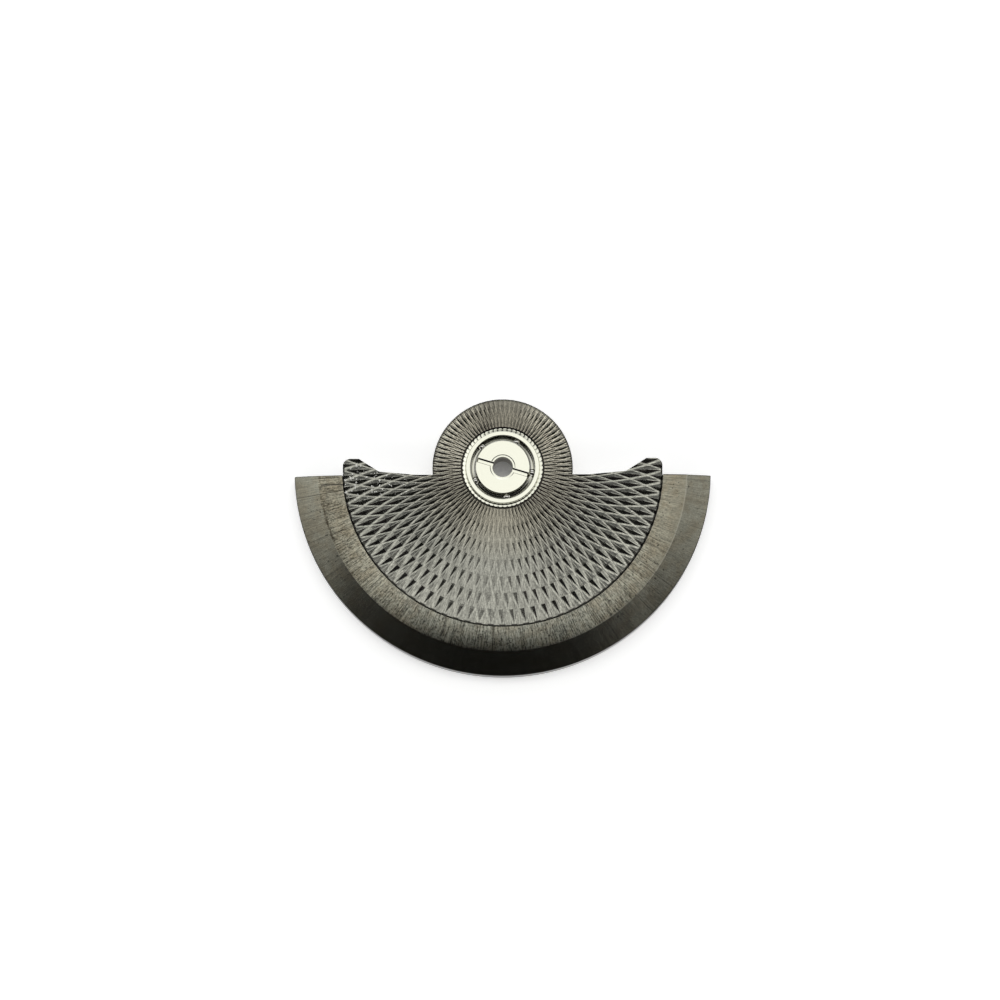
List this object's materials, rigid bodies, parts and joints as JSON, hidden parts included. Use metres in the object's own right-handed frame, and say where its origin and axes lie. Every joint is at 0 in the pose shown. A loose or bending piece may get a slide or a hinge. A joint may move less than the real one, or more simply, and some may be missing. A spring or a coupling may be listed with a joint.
{
  "type": "automatic watch rotor",
  "caption": "Oscillating weight of a self-winding watch: half-ring rim on a decorated plate, on a ball bearing with a slotted core and a winding gear.",
  "frame": {"origin": "on the bearing axis, in the plane of the seat that rests on the movement", "axes": "+Z along the bearing axis, out of the decorated side; the rim hangs towards -Y and spans X; the threaded stub points to -Z"},
  "size_m": [0.0252, 0.0168, 0.0016],
  "materials": {
    "tungsten_rim": "radially brushed, dark grey",
    "plated_brass": "dark ruthenium-like plating over engraved brass",
    "polished_steel": "polished",
    "gear_steel": "satin",
    "cage_brass": "plain brass",
    "ball_steel": "mirror polished"
  },
  "bodies": {
    "bearing_inner": {"bearing_core": "polished_steel", "lower_cone": "polished_steel"},
    "rotor": {"rim_weight": "tungsten_rim", "rotor_plate": "plated_brass", "bearing_outer_ring": "polished_steel", "winding_gear": "gear_steel"},
    "cage": {"ball_cage": "cage_brass"},
    "ball_1": {"ball_1": "ball_steel"},
    "ball_2": {"ball_2": "ball_steel"},
    "ball_3": {"ball_3": "ball_steel"},
    "ball_4": {"ball_4": "ball_steel"},
    "ball_5": {"ball_5": "ball_steel"}
  },
  "joints": [
    {"name": "rotor_spin", "type": "hinge", "parent": "bearing_inner", "child": "rotor", "pos_m": [0, 0, 0.0008], "axis": [0, 0, 1], "continuous": true},
    {"name": "cage_spin", "type": "hinge", "parent": "bearing_inner", "child": "cage", "pos_m": [0, 0, 0.0008], "axis": [0, 0, 1], "continuous": true},
    {"name": "ball_1_spin", "type": "hinge", "parent": "cage", "child": "ball_1", "pos_m": [0.00085, 0.00159, 0.0008], "axis": [0, 0, 1], "continuous": true},
    {"name": "ball_2_spin", "type": "hinge", "parent": "cage", "child": "ball_2", "pos_m": [-0.00125, 0.00129, 0.0008], "axis": [0, 0, 1], "continuous": true},
    {"name": "ball_3_spin", "type": "hinge", "parent": "cage", "child": "ball_3", "pos_m": [-0.00162, -0.00079, 0.0008], "axis": [0, 0, 1], "continuous": true},
    {"name": "ball_4_spin", "type": "hinge", "parent": "cage", "child": "ball_4", "pos_m": [0.00025, -0.00178, 0.0008], "axis": [0, 0, 1], "continuous": true},
    {"name": "ball_5_spin", "type": "hinge", "parent": "cage", "child": "ball_5", "pos_m": [0.00177, -0.00031, 0.0008], "axis": [0, 0, 1], "continuous": true}
  ],
  "couplings": [
    {"joint": "cage_spin", "follows": "rotor_spin", "ratio": 0.57639},
    {"joint": "ball_1_spin", "follows": "rotor_spin", "ratio": 3.1963},
    {"joint": "ball_2_spin", "follows": "rotor_spin", "ratio": 3.1963},
    {"joint": "ball_3_spin", "follows": "rotor_spin", "ratio": 3.1963},
    {"joint": "ball_4_spin", "follows": "rotor_spin", "ratio": 3.1963},
    {"joint": "ball_5_spin", "follows": "rotor_spin", "ratio": 3.1963}
  ]
}
